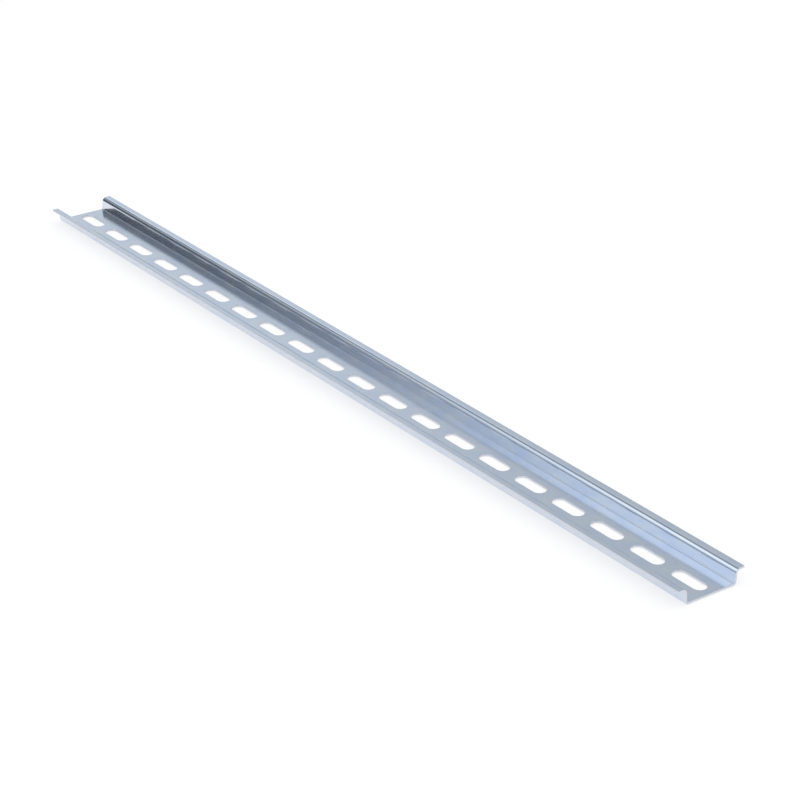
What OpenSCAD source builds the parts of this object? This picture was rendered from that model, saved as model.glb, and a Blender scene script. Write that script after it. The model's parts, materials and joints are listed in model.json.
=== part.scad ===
// Slotted top-hat mounting rail, roll formed from one strip of steel sheet.
// It lies along X on the underside of its web, with the flanges on top and outward, and the
// slots in one row down the middle of the web. The origin is the middle of the underside.

/* [Rail] */
// Length of the rail
rail_length = 500; // [100:25:1000]

/* [Section] */
// Width over the edges of both flanges
rail_width = 35; // [34:0.5:40]
// Width over the outer faces of the walls, halfway up the rail
channel_width = 27.5; // [23:0.5:28]
// Height from the underside of the web to the top of the flanges
rail_height = 7.5; // [6.5:0.5:15]
// Thickness of the strip
sheet = 1; // [0.8:0.1:1.5]
// Radius on the inside of each bend between the web and a wall
web_bend_radius = 0.5; // [0.2:0.1:1]
// Radius on the inside of each bend between a wall and its flange
flange_bend_radius = 1.5; // [0.5:0.1:2]
// Lean of each wall, outward from upright, in degrees
wall_lean = 5; // [0:1:10]

/* [Slots] */
// Distance from the centre of one slot to the next
slot_pitch = 25; // [25:1:40]
// Length of a slot over its round ends
slot_length = 18; // [10:0.5:20]
// Width of a slot
slot_width = 6.5; // [4:0.1:8]

/* [Hidden] */
$fn = 96;

// The strip turns up through this angle into a wall, and back through it into a flange.
bend_angle = 90 - wall_lean;
// How far a bend of this inside radius lifts the middle of the strip's thickness
function bend_rise(radius) = (radius + sheet / 2) * (1 - cos(bend_angle));
// Straight part of a wall: it makes up the height that the two bends leave
wall_run = (rail_height - sheet - bend_rise(web_bend_radius) - bend_rise(flange_bend_radius))
    / sin(bend_angle);
// How far out a wall goes from halfway up the rail to the far end of its bend of this radius
function half_wall_reach(radius) =
    ((rail_height - sheet) / 2 - bend_rise(radius)) * tan(wall_lean)
    + (radius + sheet / 2) * sin(bend_angle);
// Distance of a wall's middle from the centre plane, halfway up the rail
wall_middle = channel_width / 2 - sheet / 2 / sin(bend_angle);
// Flat half of the web, and flat part of a flange
web_half = wall_middle - half_wall_reach(web_bend_radius);
flange_run = rail_width / 2 - wall_middle - half_wall_reach(flange_bend_radius);

// As many slots as the pitch fits into the length, set in the middle of it
slot_count = floor(rail_length / slot_pitch);
slot_first = -slot_pitch * (slot_count - 1) / 2;
// How far a slot's cutter stands out of each face of the web
cut_clear = 0.5;

// A straight stretch of the strip's section. Its children go on from its end.
module run(length) {
    translate([0, -sheet / 2]) square([length, sheet]);
    translate([length, 0]) children();
}

// A bend of the strip's section, up for a positive angle and down for a negative one.
// Its children go on from its end.
module bend(angle, radius) {
    up = sign(angle);
    middle = radius + sheet / 2;
    outer = radius + sheet;
    translate([0, up * middle]) {
        // The part of the ring that lies past the bend's start and short of its end
        intersection() {
            difference() {
                circle(outer);
                circle(radius);
            }
            translate([0, -2 * outer]) square([2 * outer, 4 * outer]);
            rotate(angle) translate([-2 * outer, -2 * outer]) square([2 * outer, 4 * outer]);
        }
        rotate(angle) translate([0, -up * middle]) children();
    }
}

// The rolled section, with its width along X and its height along Y: each half of the strip
// goes out from the middle of the web to the edge of its flange
module section() {
    for (side = [0, 1])
        mirror([side, 0])
            translate([0, sheet / 2])
                run(web_half)
                    bend(bend_angle, web_bend_radius)
                        run(wall_run)
                            bend(-bend_angle, flange_bend_radius)
                                run(flange_run);
}

// Outline of one slot, its round ends on the long axis
module slot_outline() {
    end_x = (slot_length - slot_width) / 2;
    square([2 * end_x, slot_width], center = true);
    for (x = [-end_x, end_x])
        translate([x, 0]) circle(d = slot_width);
}

// The rail: the rolled section along X, with the row of slots punched through its web
module rail() {
    color("#bcc2cf")
        difference() {
            rotate([90, 0, 90])
                linear_extrude(rail_length, center = true) section();
            for (i = [0 : slot_count - 1])
                translate([slot_first + i * slot_pitch, 0, -cut_clear])
                    linear_extrude(sheet + 2 * cut_clear) slot_outline();
        }
}

rail();
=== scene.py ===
"""A slotted top-hat mounting rail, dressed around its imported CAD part.

The rail is one strip of steel sheet: slit to width, punched with a row of slots, roll formed
into its section, cropped to length and plated with zinc. It is modelled again here with the
rolled-over edges that those steps leave, and stands for the plain CAD solid.
"""

import json
import logging
import math
from collections.abc import Callable
from dataclasses import dataclass
from enum import Enum

import bmesh
import bpy
from mathutils import Matrix, Vector


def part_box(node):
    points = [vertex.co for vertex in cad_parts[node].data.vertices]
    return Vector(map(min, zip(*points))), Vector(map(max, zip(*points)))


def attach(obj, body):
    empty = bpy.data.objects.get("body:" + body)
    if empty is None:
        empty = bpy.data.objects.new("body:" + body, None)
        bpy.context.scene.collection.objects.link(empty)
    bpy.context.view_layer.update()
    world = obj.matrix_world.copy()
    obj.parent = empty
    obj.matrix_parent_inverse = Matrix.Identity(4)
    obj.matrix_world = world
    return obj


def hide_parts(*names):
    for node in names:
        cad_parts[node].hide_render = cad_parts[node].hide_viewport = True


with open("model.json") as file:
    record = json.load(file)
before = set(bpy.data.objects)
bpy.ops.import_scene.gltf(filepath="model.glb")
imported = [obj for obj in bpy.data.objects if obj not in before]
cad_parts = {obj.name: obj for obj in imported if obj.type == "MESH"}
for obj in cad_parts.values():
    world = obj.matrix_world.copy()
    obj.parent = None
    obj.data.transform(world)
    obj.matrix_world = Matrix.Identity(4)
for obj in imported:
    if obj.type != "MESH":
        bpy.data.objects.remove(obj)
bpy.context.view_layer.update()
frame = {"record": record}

log = logging.getLogger("rail")
logging.basicConfig(level=logging.INFO, format="%(name)s: %(message)s")

MM = 0.001

# Sizes of the rolled section that no mount states
CHANNEL_WIDTH = 27.5 * MM
WEB_BEND = 0.5 * MM
FLANGE_BEND = 1.5 * MM
WALL_LEAN = math.radians(5)

# Angles between faces: a bend's steps stay under both, an edge of the sheet is over both
SMOOTH_ANGLE = math.radians(40)
CORNER_ANGLE = math.radians(50)

# Distances under which two places count as the same
SEAM = 0.01 * MM
TOUCH = 0.001 * MM


class Finish(Enum):
    """The two finishes of the strip, by the place of their material on the piece."""

    ROLLED = 0
    SHEARED = 1


# ---------------------------------------------------------------- sizes


@dataclass(frozen=True)
class Section:
    """Driving sizes of the rolled section, in metres and radians.

    Attributes:
        width: over the edges of both flanges.
        channel: over the outer faces of the walls, halfway up them.
        height: from the web's underside to the top of the flanges.
        sheet: thickness of the strip.
        web_bend: radius on the inside of the bend between the web and a wall.
        flange_bend: radius on the inside of the bend between a wall and its flange.
        lean: lean of each wall, outward from upright.
    """

    width: float
    channel: float
    height: float
    sheet: float
    web_bend: float
    flange_bend: float
    lean: float

    @property
    def turn(self) -> float:
        """Angle that the strip turns through at each bend."""
        return math.pi / 2 - self.lean

    @property
    def web_turn_radius(self) -> float:
        """Radius of the bend at the web, along the middle of the sheet."""
        return self.web_bend + self.sheet / 2

    @property
    def flange_turn_radius(self) -> float:
        """Radius of the bend at a flange, along the middle of the sheet."""
        return self.flange_bend + self.sheet / 2

    @property
    def wall_run(self) -> float:
        """Straight part of a wall, which makes up the height the bends leave."""
        rise = (self.web_turn_radius + self.flange_turn_radius) * (1 - math.cos(self.turn))
        return (self.height - self.sheet - rise) / math.sin(self.turn)

    def bend_end(self, radius: float) -> float:
        """Reach of a wall from halfway up the rail to the far end of one of its bends.

        Args:
            radius: of that bend, along the middle of the sheet.

        Returns:
            The reach across the rail.
        """
        straight = (self.height - self.sheet) / 2 - radius * (1 - math.cos(self.turn))
        return straight * math.tan(self.lean) + radius * math.sin(self.turn)

    @property
    def wall_middle(self) -> float:
        """Distance of a wall's middle from the centre plane, halfway up the rail."""
        return self.channel / 2 - self.sheet / 2 / math.sin(self.turn)

    @property
    def web_half(self) -> float:
        """Half the flat width of the web."""
        return self.wall_middle - self.bend_end(self.web_turn_radius)

    @property
    def flange_start(self) -> float:
        """Distance of a flange's flat part from the centre plane."""
        return self.wall_middle + self.bend_end(self.flange_turn_radius)


@dataclass(frozen=True)
class SlotRow:
    """The row of slots along the middle of the web, in metres.

    Attributes:
        pitch: from the centre of one slot to the next.
        length: of a slot over its round ends.
        width: of a slot.
        count: how many slots the rail's length holds.
    """

    pitch: float
    length: float
    width: float
    count: int

    @property
    def first(self) -> float:
        """Place of the first slot's centre along the rail."""
        return -self.pitch * (self.count - 1) / 2


def mount(name: str) -> dict:
    """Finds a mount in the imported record.

    Args:
        name: the mount's name.

    Returns:
        The mount's entry.
    """
    return next(m for m in frame["record"]["mounts"] if m["name"] == name)


def rail_sizes() -> tuple[Section, SlotRow]:
    """Works out the rail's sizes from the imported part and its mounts.

    Returns:
        The section and the row of slots.
    """
    low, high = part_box("rail")
    slot = mount("slots_10_11")["dims"]
    pitch = slot["spacing_x_mm"] * MM
    section = Section(
        width=high.y - low.y,
        channel=CHANNEL_WIDTH,
        height=high.z - low.z,
        sheet=mount("web_top")["pos_m"][2],
        web_bend=WEB_BEND,
        flange_bend=FLANGE_BEND,
        lean=WALL_LEAN,
    )
    slots = SlotRow(
        pitch=pitch,
        length=slot["slot_length_mm"] * MM,
        width=2 * slot["hole_r_mm"] * MM,
        count=math.floor((high.x - low.x) / pitch + 0.5),
    )
    return section, slots


# ---------------------------------------------------------------- modelling helpers


def deselect_all() -> None:
    """Leaves nothing selected, in object mode."""
    bpy.ops.object.select_all(action="DESELECT")


def make_active(piece: bpy.types.Object) -> None:
    """Selects one object alone and makes it the active one."""
    deselect_all()
    piece.select_set(True)
    bpy.context.view_layer.objects.active = piece


def apply_modifier(piece: bpy.types.Object, kind: str, **settings: object) -> None:
    """Adds a modifier to a piece, sets it and applies it.

    Args:
        piece: the object.
        kind: the modifier's type.
        settings: its properties.
    """
    make_active(piece)
    modifier = piece.modifiers.new(kind.lower(), kind)
    for name, value in settings.items():
        setattr(modifier, name, value)
    bpy.ops.object.modifier_apply(modifier=modifier.name)


def select_where(piece: bpy.types.Object, wanted: Callable[[bmesh.types.BMEdge], bool]) -> int:
    """Selects, in edit mode, the edges that pass a test.

    Args:
        piece: the object in edit mode.
        wanted: the test on an edge.

    Returns:
        How many edges are selected.
    """
    bpy.ops.mesh.select_mode(type="EDGE")
    bpy.ops.mesh.select_all(action="DESELECT")
    mesh = bmesh.from_edit_mesh(piece.data)
    found = [edge for edge in mesh.edges if wanted(edge)]
    for edge in found:
        edge.select = True
    mesh.select_flush_mode()
    bmesh.update_edit_mesh(piece.data)
    return len(found)


def is_corner(edge: bmesh.types.BMEdge) -> bool:
    """Tells whether two faces meet at the edge at well over a bend's step."""
    return len(edge.link_faces) == 2 and edge.calc_face_angle() > CORNER_ANGLE


# ---------------------------------------------------------------- the rail


@dataclass
class RolledRail:
    """The rail, made in the order of its manufacture.

    Attributes:
        section: sizes of the rolled section.
        slots: sizes of the row of slots.
        bend_steps: faces along each bend.
        roll_over: rounding where the punch enters a slot.
        punch_exit: rounding on a slot's far side.
        slit_edge: rounding of the slit edges of the strip.
        cropped_end: rounding of the rail's cut ends.
        edge_steps: faces across a rounded edge.
        punch_sides: faces round both ends of a punch together.
    """

    section: Section
    slots: SlotRow
    bend_steps: int = 14
    roll_over: float = 0.16 * MM
    punch_exit: float = 0.06 * MM
    slit_edge: float = 0.12 * MM
    cropped_end: float = 0.08 * MM
    edge_steps: int = 4
    punch_sides: int = 64

    @property
    def end(self) -> float:
        """Distance of the rail's cut ends from its middle."""
        return self.slots.count * self.slots.pitch / 2

    def build(self) -> bpy.types.Object:
        """Models the whole rail.

        Returns:
            The finished mesh object.
        """
        rail = self._half_strip()
        apply_modifier(rail, "MIRROR", use_axis=(False, True, False), use_clip=True)
        apply_modifier(
            rail, "ARRAY", count=self.slots.count, use_relative_offset=False,
            use_constant_offset=True, constant_offset_displace=(self.slots.pitch, 0, 0),
            use_merge_vertices=True, merge_threshold=SEAM,
        )
        make_active(rail)
        bpy.ops.object.mode_set(mode="EDIT")
        bpy.ops.mesh.select_all(action="SELECT")
        bpy.ops.mesh.remove_doubles(threshold=TOUCH)
        bpy.ops.mesh.normals_make_consistent(inside=False)
        bpy.ops.object.mode_set(mode="OBJECT")
        apply_modifier(
            rail, "SOLIDIFY", thickness=self.section.sheet, offset=0, use_even_offset=True,
        )
        self._punch(rail)
        self._ease_edges(rail)
        self._smooth(rail)
        self._dress(rail)
        rail.name = "rolled_rail"
        return rail

    def _half_strip(self) -> bpy.types.Object:
        """Rolls one pitch of half the strip, as a surface in the middle of the sheet.

        Returns:
            The surface, from the centre plane out to the edge of the flange.
        """
        s = self.section
        deselect_all()
        middle = (self.slots.first, s.web_half / 2, s.sheet / 2)
        bpy.ops.mesh.primitive_plane_add(size=1, location=middle)
        strip = bpy.context.object
        bpy.ops.object.mode_set(mode="EDIT")
        bpy.ops.transform.resize(value=(self.slots.pitch, s.web_half, 1))
        bpy.ops.object.mode_set(mode="OBJECT")
        bpy.ops.object.transform_apply(location=True, rotation=True, scale=True)
        bpy.ops.object.mode_set(mode="EDIT")
        select_where(strip, lambda edge: all(v.co.y > s.web_half - TOUCH for v in edge.verts))
        lower = (0, s.web_half, s.sheet / 2 + s.web_turn_radius)
        bpy.ops.mesh.spin(steps=self.bend_steps, angle=-s.turn, center=lower, axis=(1, 0, 0))
        wall = (0, s.wall_run * math.cos(s.turn), s.wall_run * math.sin(s.turn))
        bpy.ops.mesh.extrude_region_move(TRANSFORM_OT_translate={"value": wall})
        upper = (0, s.flange_start, s.height - s.sheet / 2 - s.flange_turn_radius)
        bpy.ops.mesh.spin(steps=self.bend_steps, angle=s.turn, center=upper, axis=(1, 0, 0))
        flange = (0, s.width / 2 - s.flange_start, 0)
        bpy.ops.mesh.extrude_region_move(TRANSFORM_OT_translate={"value": flange})
        bpy.ops.object.mode_set(mode="OBJECT")
        return strip

    def _cutter(self) -> bpy.types.Object:
        """Makes the row of punches: each a cylinder whose halves are drawn apart.

        Returns:
            The punches as one mesh.
        """
        deselect_all()
        bpy.ops.mesh.primitive_cylinder_add(
            vertices=self.punch_sides, radius=self.slots.width / 2, depth=4 * self.section.sheet,
            location=(self.slots.first, 0, self.section.sheet / 2),
            rotation=(0, 0, math.pi / self.punch_sides),
        )
        punch = bpy.context.object
        bpy.ops.object.transform_apply(location=True, rotation=True, scale=True)
        bpy.ops.object.mode_set(mode="EDIT")
        part = (self.slots.length - self.slots.width) / 2
        for way in (-1, 1):
            select_where(
                punch, lambda edge: all((v.co.x - self.slots.first) * way > 0 for v in edge.verts)
            )
            bpy.ops.transform.translate(value=(way * part, 0, 0))
        bpy.ops.object.mode_set(mode="OBJECT")
        apply_modifier(
            punch, "ARRAY", count=self.slots.count, use_relative_offset=False,
            use_constant_offset=True, constant_offset_displace=(self.slots.pitch, 0, 0),
        )
        return punch

    def _punch(self, rail: bpy.types.Object) -> None:
        """Punches the slots through the web.

        Args:
            rail: the solid strip.
        """
        punch = self._cutter()
        apply_modifier(rail, "BOOLEAN", operation="DIFFERENCE", solver="EXACT", object=punch)
        bpy.data.objects.remove(punch)

    def _ease_edges(self, rail: bpy.types.Object) -> None:
        """Rounds the edges as slitting, punching and cropping leave them.

        Args:
            rail: the punched strip.
        """
        s = self.section

        def along(edge: bmesh.types.BMEdge) -> bool:
            """Tells whether an edge runs along the rail."""
            a, b = (v.co for v in edge.verts)
            return abs(a.x - b.x) > SEAM

        def in_web(edge: bmesh.types.BMEdge, z: float) -> bool:
            """Tells whether an edge is a slot's rim on the web's face at the height z."""
            return is_corner(edge) and all(
                abs(v.co.z - z) < SEAM and abs(v.co.y) < s.web_half and abs(v.co.x) < self.end - SEAM
                for v in edge.verts
            )

        def at_slit(edge: bmesh.types.BMEdge) -> bool:
            """Tells whether an edge runs along a flange's outer edge."""
            outer = s.width / 2 - SEAM
            return is_corner(edge) and along(edge) and all(abs(v.co.y) > outer for v in edge.verts)

        def at_end(edge: bmesh.types.BMEdge) -> bool:
            """Tells whether an edge goes round a cut end."""
            return is_corner(edge) and all(abs(v.co.x) > self.end - SEAM for v in edge.verts)

        make_active(rail)
        bpy.ops.object.mode_set(mode="EDIT")
        for wanted, size in (
            (lambda edge: in_web(edge, s.sheet), self.roll_over),
            (lambda edge: in_web(edge, 0), self.punch_exit),
            (at_slit, self.slit_edge),
            (at_end, self.cropped_end),
        ):
            found = select_where(rail, wanted)
            log.info("edges eased by %.2f mm: %d", size / MM, found)
            bpy.ops.mesh.bevel(
                offset=size, segments=self.edge_steps, profile=0.5, affect="EDGES", clamp_overlap=True,
            )
        bpy.ops.object.mode_set(mode="OBJECT")

    def _smooth(self, rail: bpy.types.Object) -> None:
        """Shades the bends and eased edges smooth and keeps the flats flat.

        Args:
            rail: the finished form.
        """
        make_active(rail)
        bpy.ops.object.shade_smooth_by_angle(angle=SMOOTH_ANGLE)
        apply_modifier(rail, "WEIGHTED_NORMAL", keep_sharp=True, weight=100)

    def _dress(self, rail: bpy.types.Object) -> None:
        """Gives the rolled faces their plate, and the sheared ones the duller edge.

        Args:
            rail: the finished form.
        """
        near = 2 * SEAM
        steep = 0.5
        rail.data.materials.append(ZincPlate().material())
        rail.data.materials.append(CutEdge().material())
        for face in rail.data.polygons:
            middle, level = face.center, abs(face.normal.z)
            in_slot = abs(middle.y) < self.slots.width / 2 + near and level < steep
            at_end = abs(middle.x) > self.end - near
            at_slit = abs(middle.y) > self.section.width / 2 - near
            finish = Finish.SHEARED if in_slot or at_end or at_slit else Finish.ROLLED
            face.material_index = finish.value


# ---------------------------------------------------------------- materials


def srgb(code: str) -> tuple[float, float, float, float]:
    """Turns an sRGB hex colour into the linear one that a shader takes.

    Args:
        code: six hex digits after a hash.

    Returns:
        Linear red, green, blue and an alpha of 1.
    """
    parts = [int(code[i : i + 2], 16) / 255 for i in (1, 3, 5)]
    linear = [p / 12.92 if p <= 0.04045 else ((p + 0.055) / 1.055) ** 2.4 for p in parts]
    return (*linear, 1.0)


def empty_tree(owner: bpy.types.Material | bpy.types.World) -> bpy.types.NodeTree:
    """Gives a material or a world a node tree with nothing in it.

    Args:
        owner: the material or the world.

    Returns:
        The tree.
    """
    owner.use_nodes = True
    owner.node_tree.nodes.clear()
    return owner.node_tree


def add_node(
    tree: bpy.types.NodeTree, kind: str, links: dict | None = None, **settings: object
) -> bpy.types.Node:
    """Adds a node with its settings and links.

    Args:
        tree: the node tree.
        kind: the node's type.
        links: input name or number to the output socket or the value that it takes.
        settings: the node's own properties.

    Returns:
        The node.
    """
    node = tree.nodes.new(kind)
    for name, value in settings.items():
        setattr(node, name, value)
    for key, source in (links or {}).items():
        if isinstance(source, bpy.types.NodeSocket):
            tree.links.new(source, node.inputs[key])
        else:
            node.inputs[key].default_value = source
    return node


@dataclass(frozen=True)
class ZincPlate:
    """Bright zinc plate, clear-blue passivated, over cold-rolled strip.

    The passivate gives a cool, faintly uneven tint. The rolling leaves fine lines along the
    strip, which spread reflections a little across it.

    Attributes:
        name: the material's name.
        colour: the passivated zinc seen straight on.
        cooler: the passivate where it lies thicker.
        roughness: the share of spread in a reflection.
        roughness_swing: how far the roll lines move the roughness either way.
        line_width: width of the roll lines, in mm.
        line_length: length over which a roll line fades, in mm.
        line_depth: depth of the roll lines, in mm.
        cloud_size: size of the uneven patches of passivate, in mm.
    """

    name: str = "zinc_plated_rolled_strip"
    colour: str = "#DFE4EC"
    cooler: str = "#D6DFEE"
    roughness: float = 0.19
    roughness_swing: float = 0.025
    line_width: float = 0.35
    line_length: float = 40.0
    line_depth: float = 0.0006
    cloud_size: float = 9.0

    def material(self) -> bpy.types.Material:
        """Builds the material.

        Returns:
            The material.
        """
        material = bpy.data.materials.new(self.name)
        tree = empty_tree(material)
        place = add_node(tree, "ShaderNodeTexCoord").outputs["Object"]
        # Roll lines: noise drawn out along the rail, in steps of a line's width across it
        lengthwise, across = 1 / (self.line_length * MM), 1 / (self.line_width * MM)
        drawn = add_node(tree, "ShaderNodeMapping", {
            "Vector": place, "Scale": (lengthwise, across, across),
        })
        lines = add_node(tree, "ShaderNodeTexNoise", {
            "Vector": drawn.outputs[0], "Scale": 1.0, "Detail": 3.0, "Roughness": 0.6,
        })
        # Passivate: soft clouds a few millimetres across
        cloud = add_node(tree, "ShaderNodeTexNoise", {
            "Vector": place, "Scale": 1 / (self.cloud_size * MM), "Detail": 4.0, "Roughness": 0.55,
        })
        share = add_node(tree, "ShaderNodeMapRange", {0: cloud.outputs["Fac"], 1: 0.35, 2: 0.65})
        tint = add_node(tree, "ShaderNodeMix", {
            0: share.outputs[0], 6: srgb(self.colour), 7: srgb(self.cooler),
        }, data_type="RGBA")
        spread = add_node(tree, "ShaderNodeMapRange", {
            0: lines.outputs["Fac"], 1: 0.25, 2: 0.75,
            3: self.roughness - self.roughness_swing, 4: self.roughness + self.roughness_swing,
        })
        relief = add_node(tree, "ShaderNodeBump", {
            "Height": lines.outputs["Fac"], "Strength": 1.0, "Distance": self.line_depth * MM,
        })
        shader = add_node(tree, "ShaderNodeBsdfPrincipled", {
            "Base Color": tint.outputs[2], "Metallic": 1.0, "Roughness": spread.outputs[0],
            "Normal": relief.outputs[0],
        })
        add_node(tree, "ShaderNodeOutputMaterial", {"Surface": shader.outputs[0]})
        return material


@dataclass(frozen=True)
class CutEdge:
    """Sheared steel under thin zinc: slot walls, slit edges and cropped ends.

    A punch burnishes the first part of the cut and tears the rest, and the plate over it stays
    thin, so that the edge is duller and slightly greyer than the rolled faces.

    Attributes:
        name: the material's name.
        colour: the burnished part of the cut.
        torn: the torn part of the cut.
        roughness: the share of spread in a reflection.
        grain: size of the torn grain, in mm.
        tear_depth: depth of the torn grain, in mm.
    """

    name: str = "zinc_plated_sheared_edge"
    colour: str = "#D9DCE4"
    torn: str = "#B4B8C2"
    roughness: float = 0.34
    grain: float = 0.25
    tear_depth: float = 0.02

    def material(self) -> bpy.types.Material:
        """Builds the material.

        Returns:
            The material.
        """
        material = bpy.data.materials.new(self.name)
        tree = empty_tree(material)
        place = add_node(tree, "ShaderNodeTexCoord").outputs["Object"]
        grain = add_node(tree, "ShaderNodeTexNoise", {
            "Vector": place, "Scale": 1 / (self.grain * MM), "Detail": 4.0, "Roughness": 0.6,
        })
        share = add_node(tree, "ShaderNodeMapRange", {0: grain.outputs["Fac"], 1: 0.5, 2: 0.72})
        tint = add_node(tree, "ShaderNodeMix", {
            0: share.outputs[0], 6: srgb(self.colour), 7: srgb(self.torn),
        }, data_type="RGBA")
        relief = add_node(tree, "ShaderNodeBump", {
            "Height": grain.outputs["Fac"], "Strength": 0.4, "Distance": self.tear_depth * MM,
        })
        shader = add_node(tree, "ShaderNodeBsdfPrincipled", {
            "Base Color": tint.outputs[2], "Metallic": 1.0, "Roughness": self.roughness,
            "Normal": relief.outputs[0],
        })
        add_node(tree, "ShaderNodeOutputMaterial", {"Surface": shader.outputs[0]})
        return material


# ---------------------------------------------------------------- studio


@dataclass(frozen=True)
class StudioCamera:
    """The camera: where it looks, from where, and how it is turned.

    Attributes:
        aim: the point in the middle of the view, in metres.
        azimuth: turn of the camera round the rail, in degrees from the -Y side.
        elevation: height of the camera over the floor, in degrees seen from the aim.
        roll: turn of the camera about its own view, in degrees.
        distance: from the aim to the camera, in metres.
        lens: focal length, in mm.
        sensor: width of the sensor, in mm.
        reach: nearest and furthest distance that the camera shows, in metres.
    """

    aim: tuple[float, float, float] = (36.711 * MM, 4.566 * MM, 0.0)
    azimuth: float = 53.813
    elevation: float = 25.89
    roll: float = 0.127
    distance: float = 1.1024
    lens: float = 108.301
    sensor: float = 36.0
    reach: tuple[float, float] = (0.01, 100.0)

    def place(self) -> None:
        """Makes the camera the scene's."""
        a, e, r = (math.radians(v) for v in (self.azimuth, self.elevation, self.roll))
        back = Vector((math.sin(a) * math.cos(e), -math.cos(a) * math.cos(e), math.sin(e)))
        level = Vector((math.cos(a), math.sin(a), 0))
        up = back.cross(level)
        right = level * math.cos(r) + up * math.sin(r)
        up = back.cross(right)
        data = bpy.data.cameras.new("camera")
        data.lens = self.lens
        data.sensor_width = self.sensor
        data.clip_start, data.clip_end = self.reach
        camera = bpy.data.objects.new("camera", data)
        bpy.context.scene.collection.objects.link(camera)
        turn = Matrix((right, up, back)).transposed().to_4x4()
        camera.matrix_world = Matrix.Translation(Vector(self.aim) + back * self.distance) @ turn
        bpy.context.scene.camera = camera


@dataclass(frozen=True)
class Band:
    """Brightness round one cross-section of the studio.

    Attributes:
        slant: how far along the rail the reflected rays lean, as their X part.
        tones: radiance by angle, in degrees from level on the +Y side, over the top.
    """

    slant: float
    tones: tuple[tuple[float, float], ...]


FAR_BAND = Band(0.80, (
    (0, 0.45), (15, 0.5), (27, 0.72), (37, 0.74), (45, 0.72), (55, 0.64), (61, 0.75), (67, 1.0),
    (73, 1.2), (77, 1.15), (82, 0.75), (86, 0.35), (91, 0.03), (100, 0.0), (105, 0.2), (109, 0.5),
    (114, 0.65), (119, 0.55), (123, 0.3), (127, 0.12), (131, 0.05), (150, 0.02), (160, 0.03),
    (168, 0.08), (176, 0.35), (180, 0.8),
))
MIDDLE_BAND = Band(0.75, (
    (0, 0.45), (15, 0.5), (27, 0.65), (37, 0.71), (45, 0.76), (55, 0.78), (62, 0.8), (70, 1.0),
    (76, 1.1), (82, 0.79), (86, 0.4), (90, 0.1), (98, 0.0), (103, 0.13), (109, 0.7), (114, 1.1),
    (118, 0.95), (121, 0.5), (125, 0.2), (130, 0.16), (135, 0.22), (140, 0.25), (150, 0.15),
    (158, 0.06), (168, 0.03), (175, 0.35), (180, 0.8),
))
NEAR_BAND = Band(0.67, (
    (0, 0.45), (15, 0.5), (27, 0.57), (37, 0.58), (45, 0.55), (52, 0.62), (60, 0.68), (66, 0.65),
    (73, 0.52), (79, 0.5), (85, 0.6), (91, 0.5), (97, 0.3), (102, 0.12), (109, 0.2), (113, 0.5),
    (117, 1.0), (121, 1.2), (128, 1.1), (134, 1.15), (140, 1.35), (146, 1.3), (151, 1.1),
    (158, 0.95), (165, 0.7), (172, 0.45), (180, 0.8),
))


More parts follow.
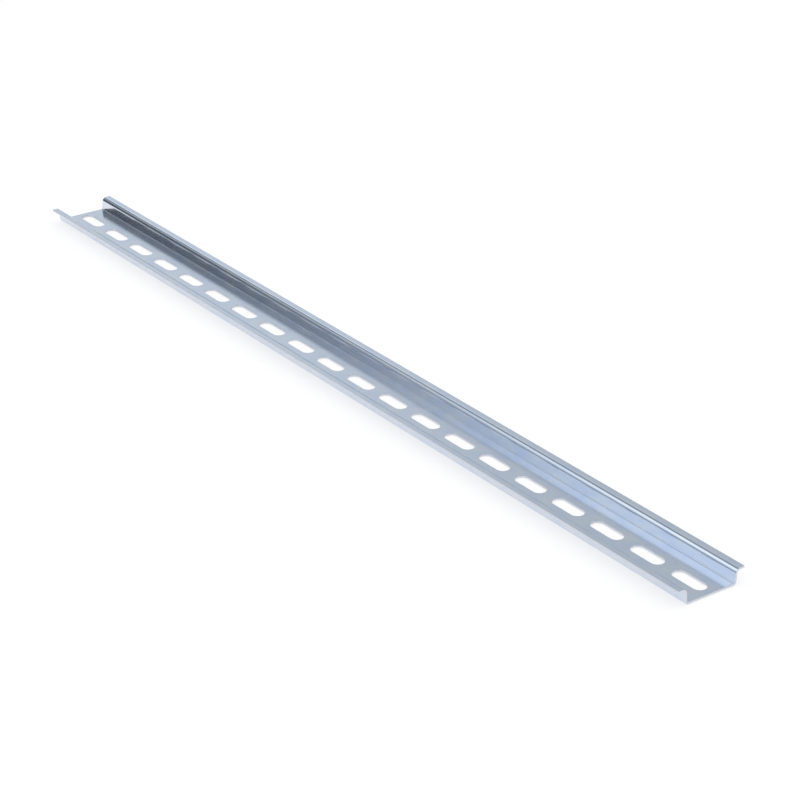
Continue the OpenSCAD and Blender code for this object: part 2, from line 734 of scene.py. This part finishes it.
@dataclass
class Studio:
    """Floor and surroundings.

    The surroundings are long soft panels and dark gaps side by side over the rail, as a tent of
    strip lights gives: metal shows them as bands along its bends.

    Attributes:
        floor_size: side of the floor, in metres.
        floor_grey: share of the light that the floor sends back.
        floor_glow: radiance that the floor adds where it is seen.
        plain: radiance of the surroundings for everything that does not see the bands.
        tint: colour that the bands are multiplied by.
    """

    floor_size: float = 12.0
    floor_grey: float = 0.5
    floor_glow: float = 0.6
    plain: float = 0.85
    tint: tuple[float, float, float, float] = (0.93, 1.0, 1.07, 1)

    def build(self) -> None:
        """Makes the floor and the surroundings."""
        bpy.context.scene.view_settings.view_transform = "Standard"
        self._floor()
        self._surroundings()

    def _floor(self) -> None:
        """Lays a plain pale floor that looks white and keeps the rail's shadow."""
        deselect_all()
        bpy.ops.mesh.primitive_plane_add(size=self.floor_size)
        floor = bpy.context.object
        floor.name = "floor"
        material = bpy.data.materials.new("white_sweep")
        tree = empty_tree(material)
        seen = self._seen_by_eye_or_metal(tree)
        grey = (self.floor_grey, self.floor_grey, self.floor_grey, 1)
        matte = add_node(tree, "ShaderNodeBsdfDiffuse", {"Color": grey})
        glow = add_node(tree, "ShaderNodeEmission", {"Color": (1, 1, 1, 1)})
        strength = add_node(tree, "ShaderNodeMath", {0: seen, 1: self.floor_glow}, operation="MULTIPLY")
        tree.links.new(strength.outputs[0], glow.inputs["Strength"])
        both = add_node(tree, "ShaderNodeAddShader", {0: matte.outputs[0], 1: glow.outputs[0]})
        add_node(tree, "ShaderNodeOutputMaterial", {"Surface": both.outputs[0]})
        floor.data.materials.append(material)

    def _seen_by_eye_or_metal(self, tree: bpy.types.NodeTree) -> bpy.types.NodeSocket:
        """Adds a test for rays from the camera, from a reflection or through a clear surface.

        Args:
            tree: the node tree.

        Returns:
            The test's result: 1 for such a ray and 0 for any other.
        """
        path = add_node(tree, "ShaderNodeLightPath")
        direct = add_node(tree, "ShaderNodeMath", {
            0: path.outputs["Is Camera Ray"], 1: path.outputs["Is Glossy Ray"],
        }, operation="MAXIMUM")
        either = add_node(tree, "ShaderNodeMath", {
            0: direct.outputs[0], 1: path.outputs["Is Transmission Ray"],
        }, operation="MAXIMUM")
        return either.outputs[0]

    def _surroundings(self) -> None:
        """Sets the world: banded panels for the metal, an even light for everything else."""
        world = bpy.data.worlds.new("studio")
        bpy.context.scene.world = world
        tree = empty_tree(world)
        seen = self._seen_by_eye_or_metal(tree)
        place = add_node(tree, "ShaderNodeTexCoord")
        way = add_node(tree, "ShaderNodeSeparateXYZ", {0: place.outputs["Generated"]}).outputs
        angle = add_node(tree, "ShaderNodeMath", {0: way["Z"], 1: way["Y"]}, operation="ARCTAN2")
        turn = add_node(tree, "ShaderNodeMath", {0: angle.outputs[0], 1: math.pi}, operation="DIVIDE")
        slant = add_node(tree, "ShaderNodeMath", {0: way["X"]}, operation="ABSOLUTE")
        near = self._band(tree, NEAR_BAND, turn.outputs[0])
        middle = self._band(tree, MIDDLE_BAND, turn.outputs[0])
        far = self._band(tree, FAR_BAND, turn.outputs[0])
        tone = self._blend(tree, slant.outputs[0], (NEAR_BAND, near), (MIDDLE_BAND, middle))
        tone = self._blend(tree, slant.outputs[0], (MIDDLE_BAND, tone), (FAR_BAND, far))
        tint = add_node(
            tree, "ShaderNodeMix", {0: 1.0, 6: tone, 7: self.tint}, data_type="RGBA", blend_type="MULTIPLY",
        )
        plain = add_node(tree, "ShaderNodeBackground", {"Color": (1, 1, 1, 1), "Strength": self.plain})
        shown = add_node(tree, "ShaderNodeBackground", {"Color": tint.outputs[2], "Strength": 1.0})
        mix = add_node(tree, "ShaderNodeMixShader", {
            0: seen, 1: plain.outputs[0], 2: shown.outputs[0],
        })
        add_node(tree, "ShaderNodeOutputWorld", {"Surface": mix.outputs[0]})

    def _band(
        self, tree: bpy.types.NodeTree, band: Band, turn: bpy.types.NodeSocket
    ) -> bpy.types.NodeSocket:
        """Adds one cross-section's brightness as a ramp over the angle.

        Args:
            tree: the world's node tree.
            band: the cross-section.
            turn: the angle as a share of half a turn.

        Returns:
            The ramp's colour.
        """
        half_turn = 180
        ramp = add_node(tree, "ShaderNodeValToRGB", {0: turn})
        stops = ramp.color_ramp.elements
        first, *inner, last = band.tones
        for stop, (degrees, tone) in zip(stops, (first, last)):
            stop.position, stop.color = degrees / half_turn, (tone, tone, tone, 1)
        for degrees, tone in inner:
            stops.new(degrees / half_turn).color = (tone, tone, tone, 1)
        return ramp.outputs[0]

    def _blend(
        self,
        tree: bpy.types.NodeTree,
        slant: bpy.types.NodeSocket,
        low: tuple[Band, bpy.types.NodeSocket],
        high: tuple[Band, bpy.types.NodeSocket],
    ) -> bpy.types.NodeSocket:
        """Adds a blend between two cross-sections by the ray's slant.

        Args:
            tree: the world's node tree.
            slant: how far along the rail the ray leans.
            low: the cross-section at the smaller slant, and its colour.
            high: the cross-section at the larger slant, and its colour.

        Returns:
            The blended colour.
        """
        share = add_node(tree, "ShaderNodeMapRange", {0: slant, 1: low[0].slant, 2: high[0].slant})
        mix = add_node(
            tree, "ShaderNodeMix", {0: share.outputs[0], 6: low[1], 7: high[1]}, data_type="RGBA",
        )
        return mix.outputs[2]


def main() -> None:
    """Builds the rail and the studio in order."""
    StudioCamera().place()
    section, slots = rail_sizes()
    log.info("slots: %d at %.1f mm", slots.count, slots.pitch / MM)
    rail = RolledRail(section, slots).build()
    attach(rail, "root")
    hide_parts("rail")
    log.info("%s: %d faces", rail.name, len(rail.data.polygons))
    Studio().build()


if __name__ == "__main__":
    main()
